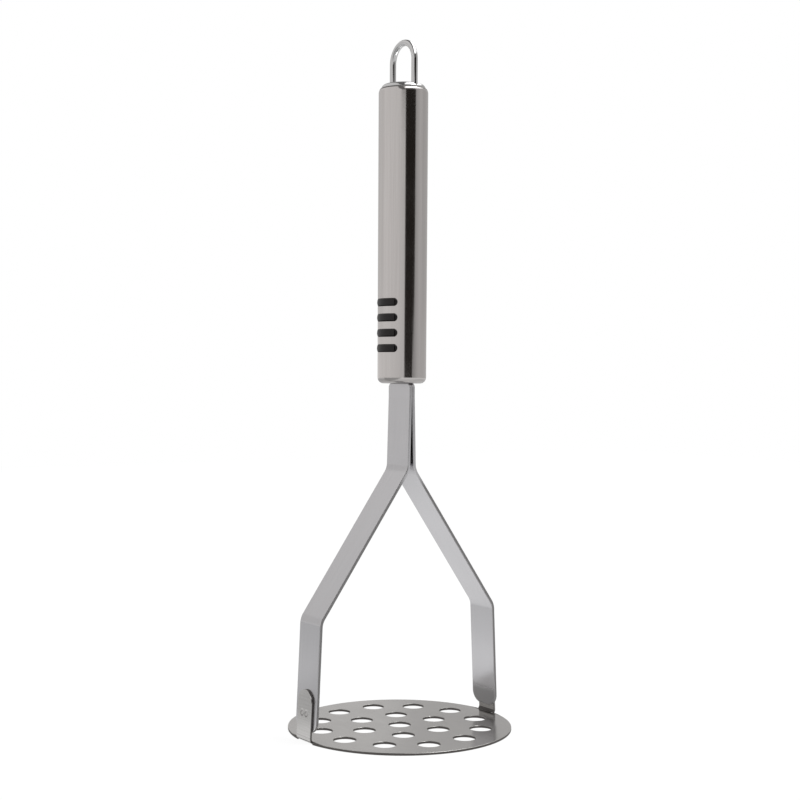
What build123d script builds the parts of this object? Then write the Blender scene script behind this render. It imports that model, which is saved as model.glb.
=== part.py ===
from build123d import *
from math import atan, cos, degrees, pi, radians, sin, tan
import os

# A potato masher: a steel handle with four rubber grip pads and a wire hanging
# loop, two bent strips that part below it like a wishbone, and a perforated
# disc whose upturned tabs are spot welded to the feet of the strips.
# Millimetres, origin in the middle of the disc's underside, +Z up the handle,
# both feet on the X axis and the grip pads on the -X side, turned a little to -Y.

# Mashing disc
disc_diameter = 85.0
disc_thickness = 0.9
disc_edge_round = 0.2
hole_diameter = 8.5
inner_ring_holes = 6
outer_ring_holes = 12
outer_ring_inset = 11.4
ring_spacing = 15.0

# Tabs of the disc
tab_width = 9.4
tab_slit_width = 0.4
tab_height = 19.3
tab_bend_radius = 1.2
weld_mark_count = 2
weld_mark_diameter = 2.2
weld_mark_depth = 0.15
weld_mark_taper = 60.0
weld_mark_spacing = 2.8
weld_mark_height = 11.2

# Frame strips
strip_width = 14.0
strip_thickness = 1.25
foot_inset = 0.3
foot_clearance = 3.0
leg_lean = 2.0
knee_height = 44.3
split_drop = 32.5
split_gap = 1.4
parting_drop = 5.0
knee_bend_radius = 5.5
split_bend_radius = 6.0
parting_bend_radius = 40.0
foot_corner_radius = 4.6
shoulder_round = 1.5
tang_width = 8.4
tang_length = 34.0

# Handle tube
handle_bottom_height = 131.0
handle_length = 111.1
handle_bottom_diameter = 18.5
handle_top_diameter = 18.8
handle_wall = 0.6
handle_bottom_round = 2.3
mouth_curl_radius = 3.2
mouth_curl_angle = 30.0

# Grip pads
pad_count = 4
pad_pitch = 5.75
pad_row_rise = 21.9
pad_height = 3.1
pad_half_angle = 34.5
pad_turn = 10.0
pad_proud = 0.4
pad_edge_round = 0.3
pad_lip_width = 0.7
pad_lip_thickness = 0.8

# Tang block inside the handle
block_height = 42.0
block_collar_height = 9.0
block_core_diameter = 14.4

# End cap
cap_rise = 2.2
cap_crown = 0.35
cap_edge_round = 1.6
cap_depth = 4.5
cap_recess_diameter = 10.5
cap_recess_depth = 2.6

# Hanging loop
wire_diameter = 2.4
loop_radius = 7.1
loop_rise = 18.9
hook_bend_radius = 2.6
hook_end_gap = 2.4

# Clearances
slot_clearance = 0.05
seat_clearance = 0.03
overrun = 1.0

# Derived places
disc_radius = disc_diameter / 2
outer_ring_radius = disc_radius - outer_ring_inset
inner_ring_radius = outer_ring_radius - ring_spacing
foot_half_span = disc_radius - foot_inset
knee_half_span = foot_half_span - leg_lean
handle_top_height = handle_bottom_height + handle_length
curl_height = (mouth_curl_radius - handle_wall / 2) * sin(radians(mouth_curl_angle))
curl_start_height = handle_top_height - curl_height - handle_wall / 2 * sin(radians(mouth_curl_angle))
foot_height = disc_thickness + foot_clearance
strip_mid = strip_thickness / 2


def tube_radius(height):
    """Outer radius of the tapered handle at a height."""
    share = (height - handle_bottom_height) / handle_length
    return (handle_bottom_diameter + (handle_top_diameter - handle_bottom_diameter) * share) / 2


def pad_heights():
    """Middle height of each grip pad, from the lowest up."""
    first = handle_bottom_height + pad_row_rise - pad_pitch * (pad_count - 1) / 2
    return [first + pad_pitch * index for index in range(pad_count)]


# Mashing disc, a punched plate with an upturned round-ended tab between two slits
# at each side
tab_tilt = atan(leg_lean / knee_height)
tab_mid_span = foot_half_span + disc_thickness / 2 / cos(tab_tilt)
tab_top_span = tab_mid_span - tab_height * tan(tab_tilt)
tab_mid_radius = tab_bend_radius + disc_thickness / 2
tab_round_radius = tab_width / 2
tab_bend_span = tab_mid_span - disc_thickness / 2 * tan(tab_tilt) - tab_mid_radius * tan((pi / 2 + tab_tilt) / 2)

with BuildPart() as mashing_disc:
    with BuildSketch():
        Circle(disc_radius)
        for side in (1, -1):
            with Locations((side * (tab_bend_span + disc_radius / 2), 0)):
                Rectangle(disc_radius, tab_width + 2 * tab_slit_width, mode=Mode.SUBTRACT)
    extrude(amount=disc_thickness)
    rim_edges = mashing_disc.edges().filter_by(GeomType.CIRCLE)
    fillet(rim_edges, radius=disc_edge_round)
    for side in (1, -1):
        with BuildSketch(Plane.XZ):
            with BuildLine():
                FilletPolyline(
                    (side * (tab_bend_span - tab_bend_radius), disc_thickness / 2),
                    (side * (tab_mid_span - disc_thickness / 2 * tan(tab_tilt)), disc_thickness / 2),
                    (side * tab_top_span, tab_height),
                    radius=tab_mid_radius,
                )
            trace(line_width=disc_thickness)
        extrude(amount=tab_width / 2, both=True)
    with BuildSketch(Plane.YZ):
        with Locations((0, -overrun)):
            Rectangle(disc_diameter + 2 * overrun, foot_height + overrun, align=(Align.CENTER, Align.MIN))
        Rectangle(tab_width, tab_height - tab_round_radius, align=(Align.CENTER, Align.MIN))
        with Locations((0, tab_height - tab_round_radius)):
            Circle(tab_round_radius)
    extrude(amount=disc_diameter, both=True, mode=Mode.INTERSECT)
    with Locations((0, 0, disc_thickness)):
        Hole(hole_diameter / 2)
        with PolarLocations(inner_ring_radius, inner_ring_holes):
            Hole(hole_diameter / 2)
        with PolarLocations(outer_ring_radius, outer_ring_holes, start_angle=180 / outer_ring_holes):
            Hole(hole_diameter / 2)
    mark_span = tab_mid_span + disc_thickness / 2 / cos(tab_tilt) - weld_mark_height * tan(tab_tilt)
    for side in (1, -1):
        tab_face = Plane(
            origin=(side * mark_span, 0, weld_mark_height),
            x_dir=(0, 1, 0),
            z_dir=(side * cos(tab_tilt), 0, sin(tab_tilt)),
        )
        with BuildSketch(tab_face):
            with GridLocations(weld_mark_spacing, 0, weld_mark_count, 1):
                Circle(weld_mark_diameter / 2)
        extrude(amount=-weld_mark_depth, taper=weld_mark_taper, mode=Mode.SUBTRACT)
mashing_disc.part.label = "mashing_disc"

# Frame strips, flat bar with three bends, a foot and a tang
tang_top_height = handle_bottom_height + tang_length
split_height = handle_bottom_height - split_drop
parting_height = handle_bottom_height - parting_drop
split_span = split_gap / 2 + strip_mid
knee_mid_span = knee_half_span - strip_mid / cos(tab_tilt)
foot_mid_span = foot_half_span - strip_mid / cos(tab_tilt)

with BuildPart() as frame_strip_right:
    with BuildSketch(Plane.XZ):
        with BuildLine():
            FilletPolyline(
                (foot_mid_span, 0),
                (knee_mid_span, knee_height),
                (split_span, split_height),
                (strip_mid, parting_height),
                (strip_mid, tang_top_height),
                radius=[knee_bend_radius + strip_mid, split_bend_radius + strip_mid, parting_bend_radius],
            )
        trace(line_width=strip_thickness)
    extrude(amount=strip_width / 2, both=True)
    with BuildSketch(Plane.YZ) as blank:
        with Locations((0, foot_height)):
            Rectangle(strip_width, handle_bottom_height - foot_height, align=(Align.CENTER, Align.MIN))
        fillet(blank.vertices().group_by(Axis.Y)[0], radius=foot_corner_radius)
        fillet(blank.vertices().group_by(Axis.Y)[-1], radius=shoulder_round)
        with Locations((0, handle_bottom_height - strip_width)):
            Rectangle(tang_width, tang_length + strip_width, align=(Align.CENTER, Align.MIN))
    extrude(amount=disc_diameter, both=True, mode=Mode.INTERSECT)
frame_strip_right.part.label = "frame_strip_right"

with BuildPart() as frame_strip_left:
    add(mirror(frame_strip_right.part, about=Plane.YZ, mode=Mode.PRIVATE))
frame_strip_left.part.label = "frame_strip_left"

# Handle tube, a drawn shell with a slot for the tangs and a curled-in mouth
tube_mid_bottom = handle_bottom_diameter / 2 - handle_wall / 2
tube_mid_top = tube_radius(curl_start_height) - handle_wall / 2
curl_mid_radius = mouth_curl_radius - handle_wall / 2
curl_end_span = tube_mid_top - curl_mid_radius * (1 - cos(radians(mouth_curl_angle)))
curl_centre_span = tube_mid_top - curl_mid_radius
slot_thickness = 2 * strip_thickness + 2 * slot_clearance
slot_width = tang_width + 2 * slot_clearance


def pad_body(inner_radius, outer_radius, height, half_angle):
    """Ring segment with round ends, centred on the -X side, its middle at z = 0."""
    end_angle = radians(half_angle) - height / 2 / outer_radius
    reach = 2 * outer_radius
    with BuildPart() as body:
        with BuildSketch():
            with BuildLine():
                Polyline(
                    (0, 0),
                    (-reach * cos(end_angle), reach * sin(end_angle)),
                    (-reach * cos(end_angle), -reach * sin(end_angle)),
                    close=True,
                )
            make_face()
        extrude(amount=height / 2, both=True)
        for side in (1, -1):
            with BuildSketch(Plane(origin=(0, 0, 0), z_dir=(-cos(end_angle), side * sin(end_angle), 0))):
                Circle(height / 2)
            extrude(amount=reach)
        with BuildSketch(Plane.XY.offset(-height)):
            Circle(outer_radius)
            Circle(inner_radius, mode=Mode.SUBTRACT)
        extrude(amount=2 * height, mode=Mode.INTERSECT)
    return body.part


with BuildPart() as handle_tube:
    with BuildSketch(Plane.XZ):
        with BuildLine():
            FilletPolyline(
                (0, handle_bottom_height + handle_wall / 2),
                (tube_mid_bottom, handle_bottom_height + handle_wall / 2),
                (tube_mid_top, curl_start_height),
                radius=handle_bottom_round - handle_wall / 2,
            )
            CenterArc((curl_centre_span, curl_start_height), curl_mid_radius, 0, mouth_curl_angle)
        trace(line_width=handle_wall)
    revolve(axis=Axis.Z)
    with BuildSketch(Plane.XY.offset(handle_bottom_height - overrun)):
        Rectangle(slot_thickness, slot_width)
    extrude(amount=handle_wall + 2 * overrun, mode=Mode.SUBTRACT)
    for height in pad_heights():
        outer = tube_radius(height)
        opening = pad_body(
            outer - 2 * handle_wall, outer + overrun, pad_height + 2 * slot_clearance, pad_half_angle,
        )
        with Locations(Location((0, 0, height), (0, 0, pad_turn))):
            add(opening, mode=Mode.SUBTRACT)
handle_tube.part.label = "handle_tube"

# Grip pads, rubber bars pushed through their openings and held by an inner lip
grip_pads = []
for index, height in enumerate(pad_heights()):
    outer = tube_radius(height)
    bore = outer - handle_wall
    with BuildPart() as grip_pad:
        add(pad_body(bore - pad_lip_thickness, outer + pad_proud, pad_height, pad_half_angle))
        fillet(grip_pad.faces().sort_by(Axis.X)[0].edges(), radius=pad_edge_round)
        lip_half_angle = pad_half_angle + degrees(pad_lip_width / bore)
        add(pad_body(bore - pad_lip_thickness, bore - seat_clearance, pad_height + 2 * pad_lip_width, lip_half_angle))
    placed = grip_pad.part.moved(Location((0, 0, height), (0, 0, pad_turn)))
    placed.label = f"grip_pad_{index + 1}"
    grip_pads.append(placed)

# Tang block, the moulded core in the foot of the handle that grips both tangs
bore_bottom = tube_radius(handle_bottom_height) - handle_wall - slot_clearance
block_bottom_height = handle_bottom_height + handle_wall + seat_clearance

with BuildPart() as tang_block:
    with BuildSketch(Plane.XY.offset(block_bottom_height)):
        Circle(bore_bottom)
    extrude(amount=block_collar_height)
    fillet(tang_block.faces().sort_by(Axis.Z)[0].edges(), radius=handle_bottom_round - handle_wall)
    with BuildSketch(Plane.XY.offset(block_bottom_height)):
        Circle(block_core_diameter / 2)
    extrude(amount=block_height)
    with BuildSketch(Plane.XY.offset(block_bottom_height - overrun)):
        Rectangle(slot_thickness, slot_width)
    extrude(amount=tang_length + overrun, mode=Mode.SUBTRACT)
tang_block.part.label = "tang_block"

# End cap, a polished button under the curled mouth with two notches for the loop
cap_radius = tube_radius(curl_start_height) - handle_wall - slot_clearance
cap_curl_radius = mouth_curl_radius - handle_wall - slot_clearance
cap_neck_span = curl_centre_span + cap_curl_radius * cos(radians(mouth_curl_angle))
cap_neck_height = curl_start_height + cap_curl_radius * sin(radians(mouth_curl_angle))
cap_bottom_height = curl_start_height - cap_depth
cap_top_height = handle_top_height + cap_rise
notch_width = wire_diameter + 2 * slot_clearance

with BuildPart() as end_cap:
    with BuildSketch(Plane.XZ) as cap_profile:
        with BuildLine():
            Line((0, cap_bottom_height), (cap_radius, cap_bottom_height))
            Line((cap_radius, cap_bottom_height), (cap_radius, curl_start_height))
            CenterArc((curl_centre_span, curl_start_height), cap_curl_radius, 0, mouth_curl_angle)
            Line((cap_neck_span, cap_neck_height), (cap_neck_span, cap_top_height - cap_crown))
            ThreePointArc(
                (cap_neck_span, cap_top_height - cap_crown),
                (cap_neck_span / 2, cap_top_height - cap_crown / 4),
                (0, cap_top_height),
            )
            Line((0, cap_top_height), (0, cap_bottom_height))
        make_face()
        rim_corner = cap_profile.vertices().sort_by_distance((cap_neck_span, 0, cap_top_height - cap_crown))[0]
        fillet(rim_corner, radius=cap_edge_round)
    revolve(axis=Axis.Z)
    with BuildSketch(Plane.XY.offset(cap_bottom_height)):
        Circle(cap_recess_diameter / 2)
    extrude(amount=cap_recess_depth, mode=Mode.SUBTRACT)
    with BuildSketch(Plane.XY.offset(cap_bottom_height)):
        for side in (1, -1):
            with Locations((0, side * loop_radius)):
                Circle(notch_width / 2)
            with Locations((0, side * (loop_radius + cap_radius / 2))):
                Rectangle(notch_width, cap_radius)
    extrude(amount=cap_depth + handle_length, mode=Mode.SUBTRACT)
end_cap.part.label = "end_cap"

# Hanging loop, one bent wire whose ends hook inwards under the cap
hook_height = cap_bottom_height - hook_bend_radius
arch_height = handle_top_height + loop_rise - wire_diameter / 2 - loop_radius

with BuildPart() as hanging_loop:
    with BuildLine(Plane.YZ) as wire_path:
        Line((-hook_end_gap / 2, hook_height), (-loop_radius + hook_bend_radius, hook_height))
        CenterArc(
            (-loop_radius + hook_bend_radius, hook_height + hook_bend_radius),
            hook_bend_radius, -90, -90,
        )
        Line((-loop_radius, hook_height + hook_bend_radius), (-loop_radius, arch_height))
        CenterArc((0, arch_height), loop_radius, 180, -180)
        Line((loop_radius, arch_height), (loop_radius, hook_height + hook_bend_radius))
        CenterArc((loop_radius - hook_bend_radius, hook_height + hook_bend_radius), hook_bend_radius, 0, -90)
        Line((loop_radius - hook_bend_radius, hook_height), (hook_end_gap / 2, hook_height))
    with BuildSketch(Plane(origin=wire_path.line @ 0, z_dir=wire_path.line % 0)):
        Circle(wire_diameter / 2)
    sweep()
hanging_loop.part.label = "hanging_loop"

os.makedirs("parts", exist_ok=True)
pieces = [
    mashing_disc.part,
    frame_strip_right.part,
    frame_strip_left.part,
    handle_tube.part,
    tang_block.part,
    end_cap.part,
    hanging_loop.part,
    *grip_pads,
]
for piece in pieces:
    export_step(piece, f"parts/{piece.label}.step")
    print(piece.label, round(piece.volume, 1))
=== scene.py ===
from math import atan, cos, pi, radians, sin, tan
import bpy
from mathutils import Matrix, Vector


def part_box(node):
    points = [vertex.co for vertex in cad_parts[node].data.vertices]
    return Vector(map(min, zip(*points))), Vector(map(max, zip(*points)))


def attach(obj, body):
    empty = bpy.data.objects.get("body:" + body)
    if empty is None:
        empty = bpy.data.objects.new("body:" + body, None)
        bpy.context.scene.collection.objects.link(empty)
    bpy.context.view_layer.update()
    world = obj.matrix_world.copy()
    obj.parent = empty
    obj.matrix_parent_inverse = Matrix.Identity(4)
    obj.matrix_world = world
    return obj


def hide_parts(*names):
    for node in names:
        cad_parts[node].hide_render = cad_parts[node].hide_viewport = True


# Potato masher: polished tube handle with rubber pads and a wire loop, a wishbone
# of two bent strips and a perforated disc with upturned tabs.
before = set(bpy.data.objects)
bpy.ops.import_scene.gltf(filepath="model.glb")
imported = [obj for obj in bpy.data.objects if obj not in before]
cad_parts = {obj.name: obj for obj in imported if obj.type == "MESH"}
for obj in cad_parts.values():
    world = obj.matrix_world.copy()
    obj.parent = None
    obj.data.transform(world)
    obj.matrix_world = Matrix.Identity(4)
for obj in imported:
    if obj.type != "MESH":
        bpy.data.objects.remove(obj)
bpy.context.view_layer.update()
mm = 0.001
# distances within which points count as the same, and the part of its normal
# along an axis from which a face counts as square to it
near = 0.01 * mm
tiny = 0.001 * mm
square = 0.9

discLow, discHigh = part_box("mashing_disc")
stripLow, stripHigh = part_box("frame_strip_right")
tubeLow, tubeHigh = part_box("handle_tube")
capLow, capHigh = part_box("end_cap")
loopLow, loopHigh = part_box("hanging_loop")
print("stage: frame loaded, nodes", len(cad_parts))


# Small helpers for modelling

def startFresh():
    if bpy.context.object and bpy.context.object.mode == "EDIT":
        bpy.ops.object.mode_set(mode="OBJECT")
    bpy.ops.object.select_all(action="DESELECT")


def pick(piece, kind, test):
    # leaves the piece in edit mode with only what passes the test selected
    bpy.ops.object.mode_set(mode="EDIT")
    bpy.ops.mesh.select_mode(type=kind)
    bpy.ops.mesh.select_all(action="DESELECT")
    bpy.ops.object.mode_set(mode="OBJECT")
    mesh = piece.data
    items = {"VERT": mesh.vertices, "EDGE": mesh.edges, "FACE": mesh.polygons}[kind]
    for item in items:
        item.select = test(mesh, item)
    bpy.ops.object.mode_set(mode="EDIT")


def edgePoints(mesh, edge):
    return [mesh.vertices[index].co for index in edge.vertices]


def settle(piece):
    # place goes into the mesh, the object stays at the origin
    bpy.ops.object.mode_set(mode="OBJECT")
    bpy.ops.object.select_all(action="DESELECT")
    piece.select_set(True)
    bpy.context.view_layer.objects.active = piece
    bpy.ops.object.transform_apply(location=True, rotation=True, scale=True)


def faceOutwards(piece):
    bpy.ops.object.mode_set(mode="EDIT")
    bpy.ops.mesh.select_all(action="SELECT")
    bpy.ops.mesh.remove_doubles(threshold=2 * tiny)
    bpy.ops.mesh.normals_make_consistent(inside=False)
    bpy.ops.object.mode_set(mode="OBJECT")


def useModifier(piece, kind, **settings):
    modifier = piece.modifiers.new(kind.lower(), kind)
    for name, value in settings.items():
        setattr(modifier, name, value)
    bpy.context.view_layer.objects.active = piece
    bpy.ops.object.modifier_apply(modifier=modifier.name)


def softenEdges(piece, width, segments):
    useModifier(piece, "BEVEL", width=width, segments=segments, limit_method="ANGLE",
                angle_limit=radians(50), miter_outer="MITER_ARC")


def copyPiece(piece, name):
    twin = piece.copy()
    twin.data = piece.data.copy()
    twin.name = name
    bpy.context.scene.collection.objects.link(twin)
    return twin


def cutAway(piece, cutter):
    useModifier(piece, "BOOLEAN", object=cutter, operation="DIFFERENCE", solver="EXACT")
    bpy.data.objects.remove(cutter)


def finishPiece(piece, material, nodeName, smoothAngle=40):
    settle(piece)
    faceOutwards(piece)
    bpy.ops.object.shade_smooth_by_angle(angle=radians(smoothAngle))
    useModifier(piece, "WEIGHTED_NORMAL", keep_sharp=True, weight=60)
    piece.data.materials.clear()
    piece.data.materials.append(material)
    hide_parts(nodeName)
    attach(piece, "root")
    print("  piece", piece.name, "faces", len(piece.data.polygons))


def arcPoints(centre, radius, start, end, steps):
    # points of an arc in the plane of (radius, height), angles from the outward direction
    points = []
    for step in range(steps + 1):
        angle = start + (end - start) * step / steps
        points.append((centre[0] + radius * cos(angle), centre[1] + radius * sin(angle)))
    return points


def turnProfile(name, profile, segments):
    # a ring drawn up through the profile, closed to a point at both ends
    startFresh()
    radius, height = profile[0]
    bpy.ops.mesh.primitive_circle_add(vertices=segments, radius=radius, location=(0, 0, height))
    piece = bpy.context.object
    piece.name = name
    bpy.ops.object.mode_set(mode="EDIT")
    bpy.ops.mesh.select_mode(type="EDGE")
    bpy.ops.mesh.select_all(action="SELECT")
    for nextRadius, nextHeight in profile[1:]:
        extrudeOn((0, 0, nextHeight - height))
        share = nextRadius / radius
        bpy.ops.transform.resize(value=(share, share, 1), center_override=(0, 0, nextHeight))
        radius, height = nextRadius, nextHeight
    bpy.ops.mesh.merge(type="CENTER")
    settle(piece)
    firstRadius, firstHeight = profile[0]
    pick(piece, "VERT", lambda mesh, point: abs(point.co.z - firstHeight) < tiny
         and abs(point.co.xy.length - firstRadius) < near)
    bpy.ops.mesh.merge(type="CENTER")
    bpy.ops.object.mode_set(mode="OBJECT")
    return piece


def spinOn(angle, centre, axis, steps):
    # Blender's spin turns clockwise about its axis, this one counter-clockwise
    bpy.ops.mesh.spin(steps=steps, angle=-angle, center=centre, axis=axis)


def extrudeOn(way):
    bpy.ops.mesh.extrude_region_move(TRANSFORM_OT_translate={"value": way})


def roundCorners(piece, height, reach, width, radius, segments):
    # rounds both corners of a bar's or tab's end that lies within reach of the height
    def isCorner(mesh, edge):
        first, second = edgePoints(mesh, edge)
        return first.y * second.y > 0 and all(
            abs(p.z - height) < reach and abs(abs(p.y) - width / 2) < near for p in (first, second))
    pick(piece, "EDGE", isCorner)
    bpy.ops.mesh.bevel(offset=radius, segments=segments, affect="EDGES", clamp_overlap=False)
    bpy.ops.object.mode_set(mode="OBJECT")


# Materials

def feed(tree, node, values):
    # each value is another node's output or plain
    for name, value in values.items():
        if isinstance(value, bpy.types.NodeSocket):
            tree.links.new(value, node.inputs[name])
        else:
            node.inputs[name].default_value = value


def addNode(tree, kind, inputs=None, **settings):
    node = tree.nodes.new(kind)
    for name, value in settings.items():
        setattr(node, name, value)
    feed(tree, node, inputs or {})
    return node


def calculate(tree, operation, *values):
    return addNode(tree, "ShaderNodeMath", dict(enumerate(values)), operation=operation).outputs[0]


def combine(tree, operation, result, *others):
    # the same operation over any number of values
    for other in others:
        result = calculate(tree, operation, result, other)
    return result


# results of a step that falls, and the span that holds most of a noise
falling = (1.0, 0.0)
noiseSpan = (0.3, 0.7)


def softStep(tree, value, span, results=(0.0, 1.0)):
    names = ("Value", "From Min", "From Max", "To Min", "To Max")
    node = addNode(tree, "ShaderNodeMapRange", dict(zip(names, (value, *span, *results))),
                   interpolation_type="SMOOTHSTEP")
    return node.outputs["Result"]


def mixColours(tree, share, first, second):
    # a colour is another node's output or three numbers
    first, second = [(*colour, 1.0) if isinstance(colour, tuple) else colour for colour in (first, second)]
    node = addNode(tree, "ShaderNodeMix", {"Factor": share, "A": first, "B": second}, data_type="RGBA")
    return node.outputs["Result"]


def addBump(tree, height, strength, distance):
    node = addNode(tree, "ShaderNodeBump", {"Strength": strength, "Distance": distance, "Height": height})
    return node.outputs["Normal"]


def objectPlace(tree):
    return addNode(tree, "ShaderNodeTexCoord").outputs["Object"]


def splitVector(tree, vector):
    return addNode(tree, "ShaderNodeSeparateXYZ", {0: vector}).outputs


def surfaceParts(tree):
    # X, Y and Z of the surface's normal and of its place
    normal = addNode(tree, "ShaderNodeNewGeometry").outputs["True Normal"]
    return splitVector(tree, normal), splitVector(tree, objectPlace(tree))


def facesInward(tree, facing, place):
    return calculate(tree, "LESS_THAN", calculate(tree, "MULTIPLY", facing["X"], place["X"]), 0.0)


def newGroup(name, inputs, outputs):
    group = bpy.data.node_groups.new(name, "ShaderNodeTree")
    for socketName, kind, default in inputs:
        socket = group.interface.new_socket(name=socketName, in_out="INPUT", socket_type=kind)
        if default is not None:
            socket.default_value = default
    for socketName, kind in outputs:
        group.interface.new_socket(name=socketName, in_out="OUTPUT", socket_type=kind)
    return group, addNode(group, "NodeGroupInput").outputs, addNode(group, "NodeGroupOutput")


def buildDrawnGrain():
    # fine lines that the rolls and the belt leave along the metal
    group, given, result = newGroup(
        "drawnGrain",
        [("Vector", "NodeSocketVector", None), ("Lines per m", "NodeSocketFloat", 2500.0),
         ("Stretch", "NodeSocketVector", (1.0, 1.0, 0.02))],
        [("Lines", "NodeSocketFloat"), ("Patches", "NodeSocketFloat")])
    squeeze = addNode(group, "ShaderNodeVectorMath", {0: given["Vector"], 1: given["Stretch"]},
                      operation="MULTIPLY")
    lines = addNode(group, "ShaderNodeTexNoise", {
        "Vector": squeeze.outputs[0], "Scale": given["Lines per m"], "Detail": 3.0, "Roughness": 0.6})
    patches = addNode(group, "ShaderNodeTexNoise", {"Vector": given["Vector"], "Scale": 60.0, "Detail": 4.0})
    feed(group, result, {"Lines": lines.outputs["Fac"], "Patches": patches.outputs["Fac"]})
    return group


drawnGrain = buildDrawnGrain()


def buildCutEdge():
    # 1 on the sheared edges of the sheet: the rim and holes of the plate, the sides of the tabs; also on the
    #                                      weld rings, and as painted shade in the bend's corner and on the
    #                                      tab's inner face
    group, given, result = newGroup(
        "cutEdgeWeldAndShade", [("Plate top", "NodeSocketFloat", 0.0012), ("Bend top", "NodeSocketFloat", 0.0025),
                    ("Bend start", "NodeSocketFloat", 0.0412), ("Weld height", "NodeSocketFloat", 0.0106),
                    ("Weld offset", "NodeSocketFloat", 0.0014), ("Weld radius", "NodeSocketFloat", 0.0009),
                    ("Tab inside", "NodeSocketFloat", 0.0422), ("Tab lean", "NodeSocketFloat", 0.0451)],
        [("Mask", "NodeSocketFloat")])
    # spans of the normal's parts, then of metres
    turns = {"rim": (0.5, 0.7), "side": (0.55, 0.9), "tip": (0.1, 0.45), "upward": (0.02, 0.1), "onTab": 0.8}
    spans = {"paintedLightRoll": (0.00035, 0.00075), "root": (-0.0004, 0.0004), "ring": (0.0001, 0.00035),
             "ringHeight": (-0.0006, 0.0007)}
    levels = {"paintedLightRoll": (1.0, 0.15), "ring": (0.7, 0.35), "footShade": 0.4}
    facing, place = surfaceParts(group)
    acrossX, acrossY, acrossZ = [calculate(group, "ABSOLUTE", facing[axis]) for axis in "XYZ"]
    inPlate = calculate(group, "LESS_THAN", place["Z"], given["Plate top"])
    upright = calculate(group, "GREATER_THAN", place["Z"], given["Bend top"])
    rim = calculate(group, "MULTIPLY", inPlate, softStep(group, acrossZ, turns["rim"], falling))
    tip = calculate(group, "MULTIPLY", upright, softStep(group, acrossX, turns["tip"], falling))
    # the shears roll the outer side of the tab's edge over; that side is kept lighter as painted light on the
    # round, which the mesh doesn't have
    outward = calculate(group, "ABSOLUTE", place["X"])
    leaning = calculate(group, "ADD", outward, calculate(group, "MULTIPLY", place["Z"], given["Tab lean"]))
    depth = calculate(group, "SUBTRACT", leaning, given["Tab inside"])
    sides = calculate(group, "MAXIMUM", softStep(group, acrossY, turns["side"]), tip)
    sides = calculate(group, "MULTIPLY", sides, softStep(group, depth, spans["paintedLightRoll"], levels["paintedLightRoll"]))
    # painted shade in the tight corner between plate and tab
    inBend = calculate(group, "LESS_THAN", place["Z"], given["Bend top"])
    atRoot = softStep(group, calculate(group, "SUBTRACT", outward, given["Bend start"]), spans["root"])
    creaseShade = combine(group, "MULTIPLY", inBend, atRoot, softStep(group, facing["Z"], turns["upward"]))
    # burnt rings left by the welding tips, heavier on their lower side
    up = calculate(group, "SUBTRACT", place["Z"], given["Weld height"])
    across = calculate(group, "SUBTRACT", calculate(group, "ABSOLUTE", place["Y"]), given["Weld offset"])
    squares = [calculate(group, "MULTIPLY", part, part) for part in (up, across)]
    reach = calculate(group, "SQRT", calculate(group, "ADD", *squares))
    offRing = calculate(group, "ABSOLUTE", calculate(group, "SUBTRACT", reach, given["Weld radius"]))
    onTab = calculate(group, "GREATER_THAN", acrossX, turns["onTab"])
    burnt = combine(group, "MULTIPLY", softStep(group, offRing, spans["ring"], falling),
                    softStep(group, up, spans["ringHeight"], levels["ring"]), onTab)
    # painted shade on the tab's inner face, under the foot
    footShade = combine(group, "MULTIPLY", facesInward(group, facing, place), onTab, levels["footShade"])
    feed(group, result, {"Mask": combine(group, "MAXIMUM", rim, sides, creaseShade, burnt, footShade)})
    return group


cutEdgeWeldAndShade = buildCutEdge()


def buildBarEdge():
    # 1 on the sheared edges of the legs, on their foot ends as sheared edge and painted shade, and as painted
    # shade low on their inner faces
    group, given, result = newGroup(
        "barEdgeAndShade", [("Neck height", "NodeSocketFloat", 0.094), ("Foot shade height", "NodeSocketFloat", 0.0095)],
        [("Mask", "NodeSocketFloat")])
    spans = {"turn": (0.1, 0.45), "neck": (-0.003, 0.003), "footShade": (-0.0005, 0.003)}
    footShadeLevels = (0.72, 0.0)
    facing, place = surfaceParts(group)
    aboveNeck = calculate(group, "SUBTRACT", place["Z"], given["Neck height"])
    aboveFootShade = calculate(group, "SUBTRACT", place["Z"], given["Foot shade height"])
    acrossX = calculate(group, "ABSOLUTE", facing["X"])
    # the down-facing foot ends are darkened with the side edges, painted shade as well as sheared edge
    edges = calculate(group, "MULTIPLY", softStep(group, acrossX, spans["turn"], falling),
                      softStep(group, aboveNeck, spans["neck"], falling))
    # painted shade low on the inner faces, near the foot
    footShade = calculate(group, "MULTIPLY", facesInward(group, facing, place),
                     softStep(group, aboveFootShade, spans["footShade"], footShadeLevels))
    feed(group, result, {"Mask": calculate(group, "MAXIMUM", edges, footShade)})
    return group


barEdgeAndShade = buildBarEdge()


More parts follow.
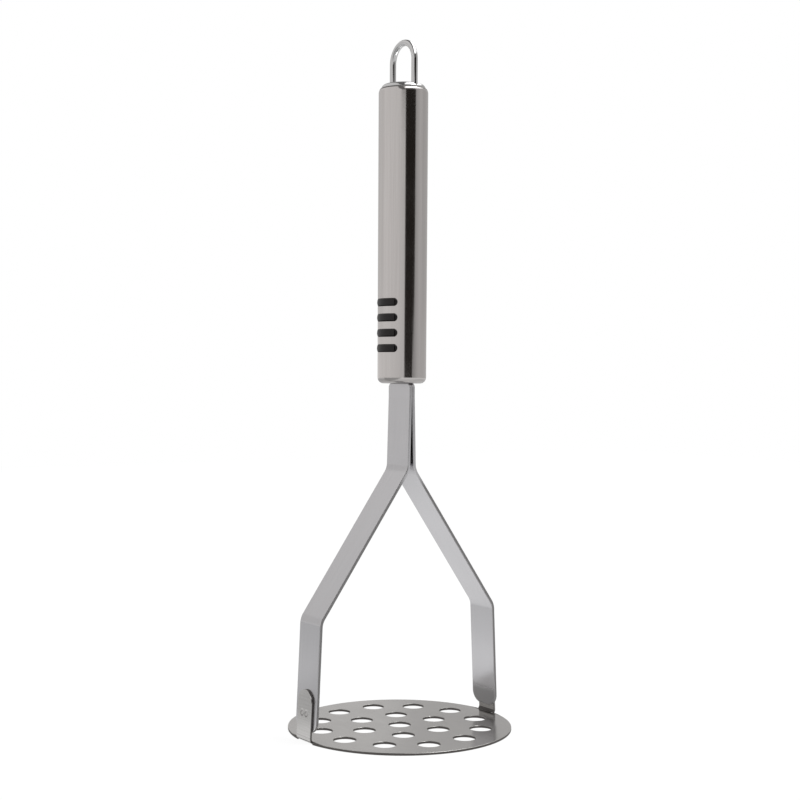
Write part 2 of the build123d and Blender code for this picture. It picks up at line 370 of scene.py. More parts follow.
def buildSeamLine():
    # 1 in the shadow line where the cap sits in the mouth of the tube, and fainter on the round at the tube's
    # bottom where it faces down: rougher there, and darkened as painted shade
    group, given, result = newGroup(
        "seamAndBottomShade", [("Height", "NodeSocketFloat", tubeHigh.z), ("Half width", "NodeSocketFloat", 0.0003),
                     ("Bottom round", "NodeSocketFloat", tubeLow.z + 0.003)],
        [("Mask", "NodeSocketFloat")])
    lineSpan, downwardSpan, bottomShadeLevels = (0.7, 1.3), (-0.45, -0.05), (0.42, 0.0)
    facing, place = surfaceParts(group)
    away = calculate(group, "ABSOLUTE", calculate(group, "SUBTRACT", place["Z"], given["Height"]))
    seam = softStep(group, calculate(group, "DIVIDE", away, given["Half width"]), lineSpan, falling)
    bottomShade = calculate(group, "MULTIPLY", softStep(group, facing["Z"], downwardSpan, bottomShadeLevels),
                     calculate(group, "LESS_THAN", place["Z"], given["Bottom round"]))
    feed(group, result, {"Mask": calculate(group, "MAXIMUM", seam, bottomShade)})
    return group


seamAndBottomShade = buildSeamLine()


def newMaterial(name):
    material = bpy.data.materials.new(name)
    material.use_nodes = True
    return material, material.node_tree, material.node_tree.nodes["Principled BSDF"]


def metalMaterial(name, look):
    material, tree, shader = newMaterial(name)
    grain = addNode(tree, "ShaderNodeGroup", {
        "Vector": objectPlace(tree), "Lines per m": look["linesPerMetre"], "Stretch": look["stretch"]},
        node_tree=drawnGrain).outputs
    # the mask holds real marks together with painted shade, both tinted with the mark tone
    markAndShade = addNode(tree, "ShaderNodeGroup", node_tree=look["markAndShade"]).outputs["Mask"]
    markRoughness = 0.6
    colour = mixColours(tree, softStep(tree, grain["Lines"], noiseSpan), look["darkTone"], look["lightTone"])
    roughness = softStep(tree, grain["Patches"], noiseSpan, look["roughness"])
    feed(tree, shader, {
        "Metallic": 1.0,
        "Base Color": mixColours(tree, markAndShade, colour, look["markAndShadeTone"]),
        "Roughness": calculate(tree, "MAXIMUM", roughness, calculate(tree, "MULTIPLY", markAndShade, markRoughness)),
        "Normal": addBump(tree, grain["Lines"], look["grainStrength"], look["grainDepth"])})
    return material


tubeSteel = metalMaterial("tubeSteel", {
    "darkTone": (0.60, 0.575, 0.565), "lightTone": (0.64, 0.615, 0.605), "roughness": (0.10, 0.14),
    "linesPerMetre": 2600.0, "stretch": (1.0, 1.0, 0.01), "grainStrength": 0.12, "grainDepth": 0.00002,
    "markAndShade": seamAndBottomShade, "markAndShadeTone": (0.16, 0.155, 0.15)})
stripSteel = metalMaterial("stripSteel", {
    "darkTone": (0.555, 0.55, 0.565), "lightTone": (0.585, 0.58, 0.595), "roughness": (0.17, 0.23),
    "linesPerMetre": 3200.0, "stretch": (0.015, 1.0, 0.015), "grainStrength": 0.12, "grainDepth": 0.00002,
    "markAndShade": barEdgeAndShade, "markAndShadeTone": (0.26, 0.255, 0.255)})
discSteel = metalMaterial("discSteel", {
    "darkTone": (0.53, 0.52, 0.51), "lightTone": (0.58, 0.57, 0.56), "roughness": (0.16, 0.21),
    "linesPerMetre": 2200.0, "stretch": (1.0, 0.03, 1.0), "grainStrength": 0.08, "grainDepth": 0.00002,
    "markAndShade": cutEdgeWeldAndShade, "markAndShadeTone": (0.12, 0.112, 0.108)})
brightSteel = metalMaterial("brightSteel", {
    "darkTone": (0.61, 0.61, 0.61), "lightTone": (0.65, 0.65, 0.65), "roughness": (0.03, 0.06),
    "linesPerMetre": 1500.0, "stretch": (1.0, 1.0, 0.2), "grainStrength": 0.05, "grainDepth": 0.00001,
    "markAndShade": seamAndBottomShade, "markAndShadeTone": (0.16, 0.155, 0.15)})


def rubberMaterial():
    look = {"darkTone": (0.005, 0.0035, 0.0035), "lightTone": (0.017, 0.012, 0.012), "toneSpan": (0.35, 0.7),
            "roughness": (0.26, 0.4), "specksPerMetre": 3500.0, "speckStrength": 0.35, "speckDepth": 0.00004,
            "undersideShadeSpan": (-0.55, 0.1), "specular": (0.02, 0.42)}
    material, tree, shader = newMaterial("padRubber")
    specks = addNode(tree, "ShaderNodeTexNoise", {
        "Vector": objectPlace(tree), "Scale": look["specksPerMetre"], "Detail": 4.0}).outputs["Fac"]
    facing = splitVector(tree, addNode(tree, "ShaderNodeNewGeometry").outputs["True Normal"])
    # the pads' tops keep their shine and their down-facing undersides lose it, a painted shade
    feed(tree, shader, {
        "Base Color": mixColours(tree, softStep(tree, specks, look["toneSpan"]),
                                 look["darkTone"], look["lightTone"]),
        "Roughness": softStep(tree, specks, noiseSpan, look["roughness"]),
        "Specular IOR Level": softStep(tree, facing["Z"], look["undersideShadeSpan"], look["specular"]),
        "Normal": addBump(tree, specks, look["speckStrength"], look["speckDepth"])})
    return material


def corePlastic():
    look = {"darkTone": (0.03, 0.03, 0.032), "lightTone": (0.05, 0.05, 0.052), "roughness": (0.5, 0.65)}
    material, tree, shader = newMaterial("corePlastic")
    mottle = addNode(tree, "ShaderNodeTexNoise", {"Vector": objectPlace(tree), "Scale": 900.0}).outputs["Fac"]
    feed(tree, shader, {"Base Color": mixColours(tree, mottle, look["darkTone"], look["lightTone"]),
                        "Roughness": softStep(tree, mottle, noiseSpan, look["roughness"])})
    return material


padRubber = rubberMaterial()
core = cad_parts["tang_block"]
core.data.materials.clear()
core.data.materials.append(corePlastic())
print("stage: materials ready")


# Handle tube
handle = {
    "wall": 0.6 * mm,
    "bottomDiameter": 18.5 * mm,
    "bottomRound": 2.3 * mm,
    "bottomRoundSteps": 14,
    "bottomFlat": 2.0 * mm,
    "centreRadius": 0.5 * mm,
    "mouthCurlRadius": 3.2 * mm,
    "mouthCurlAngle": radians(30),
    "mouthCurlSteps": 10,
    "lipFlare": 0.1 * mm,
    "lipDrop": 0.6 * mm,
    "floorDrop": 0.8 * mm,
    "segments": 192,
    "sideSteps": 12,
}


def makeHandle(values):
    bottom, top = tubeLow.z, tubeHigh.z
    wall, roundRadius = values["wall"], values["bottomRound"]
    outer = values["bottomDiameter"] / 2
    curl, curlAngle, curlSteps = values["mouthCurlRadius"], values["mouthCurlAngle"], values["mouthCurlSteps"]
    sideTop = top - curl * sin(curlAngle)
    topRadius = tubeHigh.x
    profile = [(values["centreRadius"], bottom), (outer - roundRadius - values["bottomFlat"], bottom)]
    profile += arcPoints((outer - roundRadius, bottom + roundRadius), roundRadius, -pi / 2, 0,
                         values["bottomRoundSteps"])
    for step in range(1, values["sideSteps"]):
        share = step / values["sideSteps"]
        height = bottom + roundRadius + (sideTop - bottom - roundRadius) * share
        profile.append((outer + (topRadius - outer) * share, height))
    profile += arcPoints((topRadius - curl, sideTop), curl, 0, curlAngle, curlSteps)
    # the cut lip of the mouth turns in and runs back down behind the wall
    lipRadius, lipHeight = profile[-1]
    profile += arcPoints((lipRadius - wall / 2 * cos(curlAngle), lipHeight - wall / 2 * sin(curlAngle)),
                         wall / 2, curlAngle, curlAngle + pi, curlSteps)
    innerRadius, innerHeight = profile[-1]
    profile.append((innerRadius + values["lipFlare"], innerHeight - values["lipDrop"]))
    profile.append((values["centreRadius"], innerHeight - values["floorDrop"]))
    piece = turnProfile("handleTube", profile, values["segments"])
    finishPiece(piece, tubeSteel, "handle_tube", smoothAngle=50)


makeHandle(handle)


# End cap
cap = {
    "neckRadius": 8.42 * mm,
    "edgeRound": 1.6 * mm,
    "edgeRoundSteps": 14,
    "rimTilt": radians(4),
    "crown": 0.35 * mm,
    "crownSteps": 9,
    "centreRadius": 0.4 * mm,
    "footInset": 0.6 * mm,
    "footChamfer": (0.2 * mm, 0.3 * mm),
    "sideFrom": 2.0 * mm,
    "sideMargin": 0.3 * mm,
    "notchDiameter": 2.5 * mm,
    "notchSides": 40,
    "loopRadius": 7.1 * mm,
    "edgeSoftness": 0.12 * mm,
    "segments": 160,
}


def makeCap(values):
    low, high = capLow.z, capHigh.z
    neck, edge, crown = values["neckRadius"], values["edgeRound"], values["crown"]
    chamferIn, chamferUp = values["footChamfer"]
    rimHeight = high - crown
    profile = [(values["centreRadius"], low), (neck - values["footInset"], low)]
    profile += [(neck - chamferIn, low + chamferUp), (neck, low + values["sideFrom"])]
    profile.append((neck, rimHeight - edge - values["sideMargin"]))
    profile += arcPoints((neck - edge, rimHeight - edge), edge, 0, pi / 2 - values["rimTilt"],
                         values["edgeRoundSteps"])
    rimRadius, rimTop = profile[-1]
    for step in range(1, values["crownSteps"]):
        share = step / values["crownSteps"]
        profile.append((rimRadius * (1 - share), rimTop + (high - rimTop) * (1 - (1 - share) ** 2)))
    piece = turnProfile("endCap", profile, values["segments"])
    for side in (-1, 1):
        startFresh()
        bpy.ops.mesh.primitive_cylinder_add(
            vertices=values["notchSides"], radius=values["notchDiameter"] / 2, depth=4 * (high - low),
            location=(0, side * values["loopRadius"], high))
        cutAway(piece, bpy.context.object)
    softenEdges(piece, values["edgeSoftness"], 2)
    finishPiece(piece, brightSteel, "end_cap", smoothAngle=50)


makeCap(cap)


# Hanging loop
loop = {
    "wireDiameter": 2.4 * mm,
    "legSpan": 7.1 * mm,
    "hookBend": 2.6 * mm,
    "hookSteps": 10,
    "hookGap": 1.2 * mm,
    "archSteps": 72,
    "wireSides": 32,
}


def makeLoop(values):
    wireRadius, span, bend = values["wireDiameter"] / 2, values["legSpan"], values["hookBend"]
    hookHeight = loopLow.z + wireRadius
    archHeight = loopHigh.z - wireRadius - span
    hookRun, legRun = span - bend - values["hookGap"], archHeight - hookHeight - bend
    startFresh()
    bpy.ops.mesh.primitive_circle_add(vertices=values["wireSides"], radius=wireRadius, fill_type="NGON",
                                      location=(0, -values["hookGap"], hookHeight), rotation=(pi / 2, 0, 0))
    piece = bpy.context.object
    piece.name = "hangingLoop"
    bpy.ops.object.transform_apply(location=True, rotation=True, scale=True)
    bpy.ops.object.mode_set(mode="EDIT")
    bpy.ops.mesh.select_mode(type="FACE")
    bpy.ops.mesh.select_all(action="SELECT")
    extrudeOn((0, -hookRun, 0))
    spinOn(-pi / 2, (0, -(span - bend), hookHeight + bend), (1, 0, 0), values["hookSteps"])
    extrudeOn((0, 0, legRun))
    spinOn(-pi, (0, 0, archHeight), (1, 0, 0), values["archSteps"])
    extrudeOn((0, 0, -legRun))
    spinOn(-pi / 2, (0, span - bend, hookHeight + bend), (1, 0, 0), values["hookSteps"])
    extrudeOn((0, -hookRun, 0))
    finishPiece(piece, brightSteel, "hanging_loop", smoothAngle=50)


makeLoop(loop)
print("stage: handle, cap and loop made")


# Grip pads
pads = {
    "count": 4,
    "height": 3.1 * mm,
    "halfAngle": radians(34.5),
    "turn": radians(10),
    "proud": 0.4 * mm,
    "rootDepth": 0.8 * mm,
    "edgeRound": 0.5 * mm,
    "edgeSteps": 5,
    "endSides": 48,
    "slices": 44,
}


def makePad(values):
    # lies flat with its crown on the XZ plane, then is wrapped round the handle's axis
    crownRadius = -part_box("grip_pad_1")[0].x
    halfHeight = values["height"] / 2
    reach = crownRadius * values["halfAngle"]
    halfLength = reach - halfHeight
    startFresh()
    bpy.ops.mesh.primitive_circle_add(vertices=values["endSides"], radius=halfHeight, fill_type="NGON",
                                      rotation=(pi / 2, 0, 0))
    piece = bpy.context.object
    piece.name = "gripPad1"
    bpy.ops.object.transform_apply(location=True, rotation=True, scale=True)
    for side in (-1, 1):
        pick(piece, "VERT", lambda mesh, point: point.co.x * side > tiny)
        bpy.ops.transform.translate(value=(side * halfLength, 0, 0))
    for step in range(1, values["slices"]):
        cut = -reach + 2 * reach * step / values["slices"]
        bpy.ops.mesh.select_all(action="SELECT")
        bpy.ops.mesh.bisect(plane_co=(cut, 0, 0), plane_no=(1, 0, 0))
    bpy.ops.mesh.select_mode(type="FACE")
    bpy.ops.mesh.select_all(action="SELECT")
    extrudeOn((0, values["proud"] + values["rootDepth"], 0))
    bpy.ops.object.mode_set(mode="OBJECT")
    faceOutwards(piece)
    # the rim of the crown lies between a flat face and a side face
    outline = {}
    for face in piece.data.polygons:
        for key in face.edge_keys:
            outline.setdefault(key, set()).add(abs(face.normal.y) > square)
    pick(piece, "EDGE", lambda mesh, edge: all(p.y < near for p in edgePoints(mesh, edge))
         and len(outline[edge.key]) == 2)
    bpy.ops.mesh.bevel(offset=values["edgeRound"], segments=values["edgeSteps"], affect="EDGES",
                       clamp_overlap=False)
    bpy.ops.object.mode_set(mode="OBJECT")
    useModifier(piece, "SIMPLE_DEFORM", deform_method="BEND", deform_axis="Z", angle=2 * reach / crownRadius)
    # set round the axis, then turned from -Y to its side
    piece.location = (0, -crownRadius, 0)
    settle(piece)
    piece.rotation_euler = (0, 0, -pi / 2 + values["turn"])
    settle(piece)
    return piece


firstPad = makePad(pads)
padRow = [firstPad]
for number in range(2, pads["count"] + 1):
    padRow.append(copyPiece(firstPad, "gripPad%d" % number))
for number, pad in enumerate(padRow, 1):
    low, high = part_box("grip_pad_%d" % number)
    pad.location = (0, 0, (low.z + high.z) / 2)
    finishPiece(pad, padRubber, "grip_pad_%d" % number, smoothAngle=60)
print("stage: grip pads made")


# Frame strips
strip = {
    "width": 14.0 * mm,
    "thickness": 1.25 * mm,
    "footHalfSpan": 42.2 * mm,
    "legLean": 2.0 * mm,
    "kneeHeight": 44.3 * mm,
    "splitDrop": 32.5 * mm,
    "splitGap": 1.4 * mm,
    "partingDrop": 5.0 * mm,
    "kneeBend": 5.5 * mm,
    "splitBend": 6.0 * mm,
    "bendSteps": 10,
    "partingBend": 40.0 * mm,
    "partingSteps": 3,
    "footCorner": 4.6 * mm,
    "footCornerSteps": 18,
    "shoulderRound": 1.5 * mm,
    "shoulderSteps": 8,
    "endReach": 0.1 * mm,
    "edgeRound": 0.22 * mm,
    "tangWidth": 8.4 * mm,
}


def makeStrip(values):
    # run, bend, run, bend, run, bend, run up to the handle
    thickness, width = values["thickness"], values["width"]
    lean = atan(values["legLean"] / values["kneeHeight"])
    shoulder = tubeLow.z
    foot, knee = values["footHalfSpan"], values["footHalfSpan"] - values["legLean"]
    corners = [
        Vector((foot - thickness / 2 / cos(lean), 0, 0)),
        Vector((knee - thickness / 2 / cos(lean), 0, values["kneeHeight"])),
        Vector((values["splitGap"] / 2 + thickness / 2, 0, shoulder - values["splitDrop"])),
        Vector((thickness / 2, 0, shoulder - values["partingDrop"])),
        Vector((thickness / 2, 0, shoulder)),
    ]
    bends = [(values["kneeBend"] + thickness / 2, values["bendSteps"]),
             (values["splitBend"] + thickness / 2, values["bendSteps"]),
             (values["partingBend"], values["partingSteps"])]
    ways = [(b - a).normalized() for a, b in zip(corners, corners[1:])]
    startFresh()
    bpy.ops.mesh.primitive_plane_add(size=1)
    piece = bpy.context.object
    piece.name = "frameStripRight"
    piece.scale = (thickness, width, 1)
    settle(piece)
    piece.rotation_euler = (0, -lean, 0)
    piece.location = corners[0]
    settle(piece)
    bpy.ops.object.mode_set(mode="EDIT")
    bpy.ops.mesh.select_mode(type="FACE")
    bpy.ops.mesh.select_all(action="SELECT")
    spent = 0.0
    for index, (bend, steps) in enumerate(bends):
        turn = ways[index].angle(ways[index + 1])
        spare = bend * tan(turn / 2)
        run = (corners[index + 1] - corners[index]).length - spent - spare
        extrudeOn(ways[index] * run)
        # counter-clockwise about +Y turns the way from +Z towards +X
        turnSign = 1 if ways[index].cross(ways[index + 1]).y > 0 else -1
        inward = Vector((ways[index].z, 0, -ways[index].x)) * turnSign
        centre = corners[index + 1] - ways[index] * spare + inward * bend
        spinOn(turnSign * turn, centre, (0, 1, 0), steps)
        spent = spare
    extrudeOn(ways[-1] * ((corners[-1] - corners[-2]).length - spent))
    bpy.ops.mesh.select_all(action="SELECT")
    bpy.ops.mesh.bisect(plane_co=(0, 0, stripLow.z), plane_no=(0, 0, 1), use_fill=True, clear_inner=True)
    bpy.ops.object.mode_set(mode="OBJECT")
    faceOutwards(piece)
    reach = values["endReach"]
    roundCorners(piece, stripLow.z, reach, width, values["footCorner"], values["footCornerSteps"])
    roundCorners(piece, shoulder, reach, width, values["shoulderRound"], values["shoulderSteps"])
    softenEdges(piece, values["edgeRound"], 3)
    # the tang is a narrower run of the same bar, hidden in the handle
    startFresh()
    bpy.ops.mesh.primitive_cube_add(size=1)
    tang = bpy.context.object
    tang.scale = (thickness, values["tangWidth"], stripHigh.z - shoulder)
    tang.location = (thickness / 2, 0, (stripHigh.z + shoulder) / 2)
    settle(tang)
    softenEdges(tang, values["edgeRound"], 2)
    piece.select_set(True)
    bpy.context.view_layer.objects.active = piece
    bpy.ops.object.join()
    return piece


rightStrip = makeStrip(strip)
leftStrip = copyPiece(rightStrip, "frameStripLeft")
leftStrip.scale = (-1, 1, 1)
finishPiece(rightStrip, stripSteel, "frame_strip_right")
finishPiece(leftStrip, stripSteel, "frame_strip_left")
print("stage: frame strips made")


# Mashing disc
disc = {
    "diameter": 85.0 * mm,
    "thickness": 0.9 * mm,
    "rimSides": 288,
    "holeDiameter": 8.5 * mm,
    "holeSides": 72,
    "rings": [(0.0, 1, 0.0), (16.1 * mm, 6, 0.0), (31.1 * mm, 12, pi / 12)],
    "tabWidth": 9.4 * mm,
    "tabBend": 1.2 * mm,
    "tabBendSteps": 16,
    "tabRoundSteps": 22,
    "tabFlatTop": 0.04 * mm,
    "tabSpareTop": 1.0 * mm,
    "slitWidth": 0.4 * mm,
    "pocketLength": 6.0 * mm,
    "edgeRound": 0.14 * mm,
    "weldHeight": 11.2 * mm,
    "weldSpacing": 2.8 * mm,
    "weldDiameter": 2.2 * mm,
    "weldDepth": 0.15 * mm,
}


def bendUpTab(piece, side, values, lean):
    # the sheet between the two slits turns up beside the foot
    thickness, width = values["thickness"], values["tabWidth"]
    bend = values["tabBend"] + thickness / 2
    foot = strip["footHalfSpan"] + thickness / 2 / cos(lean)
    corner = Vector((side * (foot - thickness / 2 * tan(lean)), 0, thickness / 2))
    aboveTop = discHigh.z + values["tabSpareTop"]
    top = Vector((side * (foot - aboveTop * tan(lean)), 0, aboveTop))
    spare = bend * tan((pi / 2 + lean) / 2)
    bendStart = corner.x - side * spare
    startFresh()
    bpy.ops.mesh.primitive_cube_add(size=1)
    pocket = bpy.context.object
    pocket.scale = (values["pocketLength"], width + 2 * values["slitWidth"], 6 * thickness)
    pocket.location = (bendStart + side * values["pocketLength"] / 2, 0, 0)
    settle(pocket)
    cutAway(piece, pocket)

    def backWall(mesh, face):
        return face.normal.x * side > square and abs(face.center.x - bendStart) < near

    # the pocket's back wall is parted at the tab's width and its middle turned up
    for edge in (-1, 1):
        pick(piece, "FACE", backWall)
        bpy.ops.mesh.bisect(plane_co=(0, edge * width / 2, 0), plane_no=(0, 1, 0))
    pick(piece, "FACE", lambda mesh, face: backWall(mesh, face) and abs(face.center.y) < width / 4)
    spinOn(-side * (pi / 2 + lean), (bendStart, 0, thickness / 2 + bend), (0, 1, 0), values["tabBendSteps"])
    extrudeOn((top - corner).normalized() * ((top - corner).length - spare))
    pick(piece, "FACE", lambda mesh, face: face.center.x * side > 0 and face.center.z > discHigh.z / 3)
    bpy.ops.mesh.bisect(plane_co=(0, 0, discHigh.z), plane_no=(0, 0, 1), use_fill=True, clear_outer=True)
    bpy.ops.object.mode_set(mode="OBJECT")
    faceOutwards(piece)
    tabRound = (width - values["tabFlatTop"]) / 2
    roundCorners(piece, discHigh.z, 2 * near, width, tabRound, values["tabRoundSteps"])


def dimpleTab(piece, side, values, lean):
    # two shallow round marks of the welding tips on the outside of the tab
    depth, reach = values["weldDepth"], values["weldDiameter"] / 2
    ball = (reach * reach + depth * depth) / (2 * depth)
    outside = strip["footHalfSpan"] + values["thickness"] / cos(lean) - values["weldHeight"] * tan(lean)
    for edge in (-1, 1):
        startFresh()
        bpy.ops.mesh.primitive_uv_sphere_add(segments=128, ring_count=96, radius=ball)
        tip = bpy.context.object
        tip.location = (side * (outside + (ball - depth) * cos(lean)), edge * values["weldSpacing"] / 2,
                        values["weldHeight"] + (ball - depth) * sin(lean))
        settle(tip)
        cutAway(piece, tip)


def makeDisc(values):
    thickness, radius = values["thickness"], values["diameter"] / 2
    lean = atan(strip["legLean"] / strip["kneeHeight"])
    startFresh()
    bpy.ops.mesh.primitive_cylinder_add(vertices=values["rimSides"], radius=radius, depth=thickness,
                                        location=(0, 0, thickness / 2))
    piece = bpy.context.object
    piece.name = "mashingDisc"
    settle(piece)
    for side in (1, -1):
        bendUpTab(piece, side, values, lean)
        dimpleTab(piece, side, values, lean)
    startFresh()
    bpy.ops.mesh.primitive_cylinder_add(vertices=values["holeSides"], radius=values["holeDiameter"] / 2,
                                        depth=4 * thickness)
    punch = bpy.context.object
    punches = []
    for ringRadius, count, offset in values["rings"]:
        for number in range(count):
            angle = offset + 2 * pi * number / count
            punches.append(copyPiece(punch, "punch"))
            punches[-1].location = (ringRadius * cos(angle), ringRadius * sin(angle), 0)
    bpy.data.objects.remove(punch)
    for punch in punches:
        punch.select_set(True)
    bpy.context.view_layer.objects.active = punches[0]
    bpy.ops.object.join()
    cutAway(piece, bpy.context.object)
    softenEdges(piece, values["edgeRound"], 3)
    finishPiece(piece, discSteel, "mashing_disc")


makeDisc(disc)
print("stage: mashing disc made")


# Studio: white floor, soft grey surroundings with one tall dark card, a dark gap overhead and a softbox
studio = {
    "cameraDistance": 551.15 * mm,
    "cameraHeight": 134.36 * mm,
    "cameraAzimuth": radians(35.02),
    "cameraYaw": radians(-0.064),
    "cameraPitch": radians(1.004),
    "cameraRoll": radians(0.35),
    "lens": 65.25,
    "sensorWidth": 36.0,
    "clipStart": 0.01,
    "floorSize": 3.0,
}

# level ways from the masher to the camera and to the camera's right
toCamera = (-sin(studio["cameraAzimuth"]), -cos(studio["cameraAzimuth"]), 0)
toRight = (cos(studio["cameraAzimuth"]), -sin(studio["cameraAzimuth"]), 0)


def makeCamera(values):
    azimuth = values["cameraAzimuth"] + values["cameraYaw"]
    pitch, roll = values["cameraPitch"], values["cameraRoll"]
    forward = Vector((sin(azimuth) * cos(pitch), cos(azimuth) * cos(pitch), -sin(pitch)))
    level = Vector((cos(azimuth), -sin(azimuth), 0))
    upright = level.cross(forward)
    right = level * cos(roll) + upright * sin(roll)
    up = upright * cos(roll) - level * sin(roll)
    turn = Matrix((right, up, -forward)).transposed().to_4x4()
    distance = values["cameraDistance"]
    place = Vector((toCamera[0] * distance, toCamera[1] * distance, values["cameraHeight"]))
    camera = bpy.data.objects.new("photoCamera", bpy.data.cameras.new("photoCamera"))
    bpy.context.scene.collection.objects.link(camera)
    camera.matrix_world = Matrix.Translation(place) @ turn
    camera.data.lens = values["lens"]
    camera.data.sensor_width = values["sensorWidth"]
    camera.data.sensor_fit = "HORIZONTAL"
    camera.data.clip_start = values["clipStart"]
    bpy.context.scene.camera = camera


def reachAlong(tree, vector, way):
    node = addNode(tree, "ShaderNodeVectorMath", {0: vector, 1: way}, operation="DOT_PRODUCT")
    return node.outputs["Value"]


def makeWorld():
    # brightness round the horizon, from behind on the left (0) past the camera (0.5)
    # to behind on the right (1)
    around = [(0.0, 0.78), (0.1, 0.80), (0.3, 0.76), (0.45, 0.70), (0.52, 0.64),
              (0.66, 0.36), (0.70, 0.48), (0.74, 0.55), (0.85, 0.55), (1.0, 0.60)]
    warmth = (1, 0.985, 0.975)
    # the tall dark card's spans of bearing and rise in degrees, and its tone
    spans = {"left": (9, 13.5), "right": (47, 58), "rightGrows": (-0.5, 3.5), "rightFade": (0, 4),
             "foot": (-4, -2.5), "head": (33, 37), "high": (15.5, 18.5),
             "loopFrom": (11.4, 11.8), "loopReach": (0, 20), "loopTo": (14, 15)}
    card = {name: tuple(radians(angle) for angle in span) for name, span in spans.items()}
    cardTone = (0.02, 0.017, 0.015)
    # dark gap that runs from above the camera over the top to behind: where it lies to the side at
    # two heights, and how high it begins behind and in front
    gap = {"heights": (0.20, 0.55), "left": (-0.08, -0.36), "right": (0.38, 0.08), "sideFade": (0.0, 0.05),
           "turn": (-0.3, 0.3), "floor": (0.36, 0.19), "floorFade": (0.0, 0.03), "depth": 0.78}
    # grey wall behind the masher, with its brightness from right to left
    wall = {"foot": (0.0, 0.06), "head": (0.34, 0.50), "behind": (-0.3, -0.05), "rightSpan": (-0.2, 0.1),
            "leftSpan": (-0.9, -0.3), "right": 0.90, "middle": 0.74, "left": 0.87}
    softbox = {"side": (0.10, 0.16), "height": (0.54, 0.60), "level": 2.2}
    world = bpy.data.worlds.new("studio")
    bpy.context.scene.world = world
    world.use_nodes = True
    tree = world.node_tree
    way = addNode(tree, "ShaderNodeTexCoord").outputs["Generated"]
    height = splitVector(tree, way)["Z"]
    facing, side = reachAlong(tree, way, toCamera), reachAlong(tree, way, toRight)
    bearing = calculate(tree, "ARCTAN2", side, facing)
    rise = calculate(tree, "ARCSINE", height)
    turnShare = calculate(tree, "MULTIPLY_ADD", bearing, 0.5 / pi, 0.5)
    ramp = addNode(tree, "ShaderNodeValToRGB", {"Fac": turnShare})
    while len(ramp.color_ramp.elements) < len(around):
        ramp.color_ramp.elements.new(0.5)
    for element, (share, level) in zip(ramp.color_ramp.elements, around):
        element.position = share
        element.color = (*(level * part for part in warmth), 1)
    # higher up, where only the loop and the cap mirror it, the card reaches further left
    reach = calculate(tree, "MULTIPLY", softStep(tree, rise, card["loopFrom"], card["loopReach"]),
                      softStep(tree, rise, card["loopTo"], falling))
    leftEdge = softStep(tree, calculate(tree, "ADD", bearing, reach), card["left"])
    past = calculate(tree, "SUBTRACT", bearing, softStep(tree, rise, card["rightGrows"], card["right"]))
    rightEdge = softStep(tree, past, card["rightFade"], falling)
    headEdge = calculate(tree, "MULTIPLY", softStep(tree, rise, card["head"], falling),
                         softStep(tree, rise, card["high"], (1.0, gap["depth"])))
    onCard = calculate(tree, "MULTIPLY", calculate(tree, "MULTIPLY", leftEdge, rightEdge),
                       calculate(tree, "MULTIPLY", softStep(tree, rise, card["foot"]), headEdge))
    leftLimit = softStep(tree, height, gap["heights"], gap["left"])
    rightLimit = softStep(tree, height, gap["heights"], gap["right"])
    gapFloor = softStep(tree, facing, gap["turn"], gap["floor"])
    inGap = combine(tree, "MULTIPLY",
                    softStep(tree, calculate(tree, "SUBTRACT", side, leftLimit), gap["sideFade"]),
                    softStep(tree, calculate(tree, "SUBTRACT", rightLimit, side), gap["sideFade"]),
                    softStep(tree, calculate(tree, "SUBTRACT", height, gapFloor), gap["floorFade"]),
                    gap["depth"])
    glare = calculate(tree, "MULTIPLY", softStep(tree, side, softbox["side"]),
                      softStep(tree, height, softbox["height"]))
    onWall = combine(tree, "MULTIPLY", softStep(tree, height, wall["foot"]),
                     softStep(tree, height, wall["head"], falling),
                     softStep(tree, facing, wall["behind"], falling))
    wallLevel = calculate(tree, "MULTIPLY",
                          softStep(tree, side, wall["rightSpan"], (wall["middle"], wall["right"])),
                          softStep(tree, side, wall["leftSpan"], (wall["left"] / wall["middle"], 1.0)))
    dimming = calculate(tree, "MULTIPLY_ADD", onWall, calculate(tree, "SUBTRACT", wallLevel, 1.0), 1.0)
    dimmed = addNode(tree, "ShaderNodeVectorMath", {0: ramp.outputs["Color"], "Scale": dimming},
                     operation="SCALE")
    lit = mixColours(tree, glare, dimmed.outputs["Vector"], (softbox["level"],) * 3)
    dark = calculate(tree, "MULTIPLY", calculate(tree, "MAXIMUM", onCard, inGap),
                     calculate(tree, "SUBTRACT", 1.0, glare))
    seen = mixColours(tree, addNode(tree, "ShaderNodeLightPath").outputs["Is Camera Ray"],
                      mixColours(tree, dark, lit, cardTone), (1, 1, 1))
    feed(tree, tree.nodes["Background"], {"Color": seen, "Strength": 1.0})


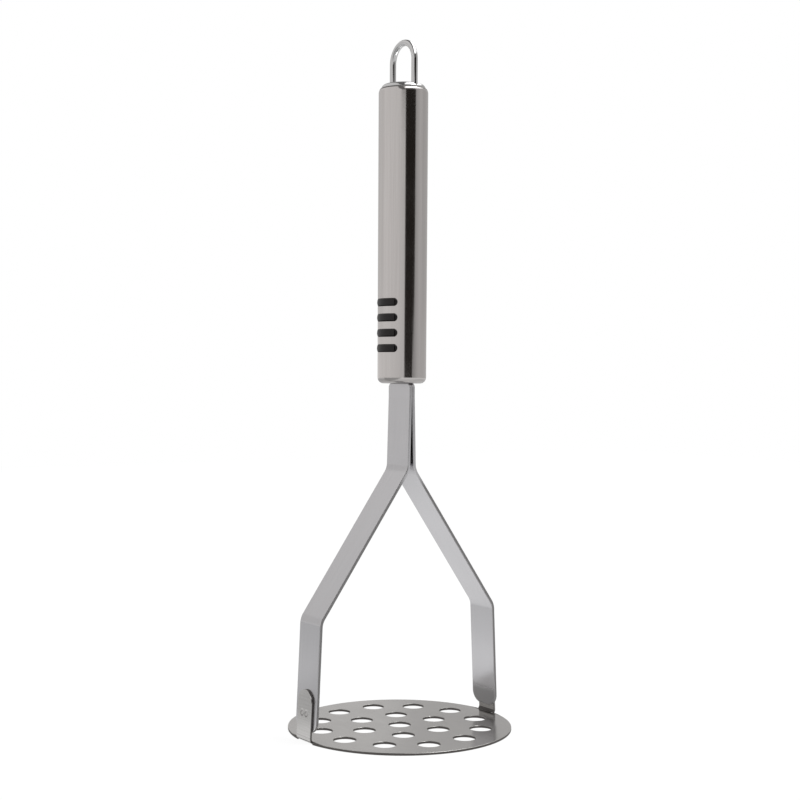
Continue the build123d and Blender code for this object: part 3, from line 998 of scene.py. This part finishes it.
def makeFloor(values):
    look = {"paint": 0.08, "roughness": 0.9, "cameraLift": 0.93, "mirror": 0.84,
            "leftShadeDrop": 0.15, "leftSpan": (-0.12, -0.06), "farLightFalloff": 0.14, "farSpan": (0.15, 0.35),
            "besideShadowDrop": 0.23, "besideDepth": (-0.05, 0.0), "besideSpan": (-0.09, -0.045)}
    startFresh()
    bpy.ops.mesh.primitive_plane_add(size=values["floorSize"])
    floor = bpy.context.object
    floor.name = "floor"
    material, tree, shader = newMaterial("floorPaper")
    # what the metal mirrors of the table, with light and shade painted in: painted shade darker on the left,
    # a painted shadow most of all right beside the masher, and a painted falloff of light far off
    place = objectPlace(tree)
    away = addNode(tree, "ShaderNodeVectorMath", {0: place}, operation="LENGTH").outputs["Value"]
    rightward, nearer = reachAlong(tree, place, toRight), reachAlong(tree, place, toCamera)
    leftShadeDrop = softStep(tree, rightward, look["leftSpan"], (look["leftShadeDrop"], 0.0))
    shadowBeside = calculate(tree, "MULTIPLY",
                       softStep(tree, nearer, look["besideDepth"], (0.0, look["besideShadowDrop"])),
                       softStep(tree, rightward, look["besideSpan"], falling))
    farLightFalloff = softStep(tree, away, look["farSpan"], (0.0, look["farLightFalloff"]))
    mirrored = calculate(tree, "SUBTRACT", look["mirror"], combine(tree, "ADD", leftShadeDrop, shadowBeside, farLightFalloff))
    path = addNode(tree, "ShaderNodeLightPath").outputs
    lifts = {"Is Camera Ray": look["cameraLift"], "Is Glossy Ray": mirrored,
             "Is Transmission Ray": look["cameraLift"]}
    glows = [calculate(tree, "MULTIPLY", path[name], lift) for name, lift in lifts.items()]
    feed(tree, shader, {"Base Color": (look["paint"],) * 3 + (1,), "Roughness": look["roughness"],
                        "Specular IOR Level": 0.0, "Emission Color": (1, 1, 1, 1),
                        "Emission Strength": combine(tree, "ADD", *glows)})
    floor.data.materials.append(material)


def makeLamp():
    # softbox high on the right, which burns out small patches on the cap and the loop
    look = {"bearing": radians(72), "rise": radians(58), "distance": 1.4, "size": 0.55, "watts": 7.0,
            "aimHeight": 0.13}
    level = Vector(toCamera) * cos(look["bearing"]) + Vector(toRight) * sin(look["bearing"])
    way = level * cos(look["rise"]) + Vector((0, 0, sin(look["rise"])))
    data = bpy.data.lights.new("softbox", "AREA")
    data.size = look["size"]
    data.energy = look["watts"]
    lamp = bpy.data.objects.new("softbox", data)
    bpy.context.scene.collection.objects.link(lamp)
    lamp.location = way * look["distance"] + Vector((0, 0, look["aimHeight"]))
    lamp.rotation_euler = way.to_track_quat("Z", "Y").to_euler()


makeCamera(studio)
makeWorld()
makeFloor(studio)
makeLamp()
bpy.context.scene.view_settings.view_transform = "Standard"
print("stage: camera, floor and light ready")
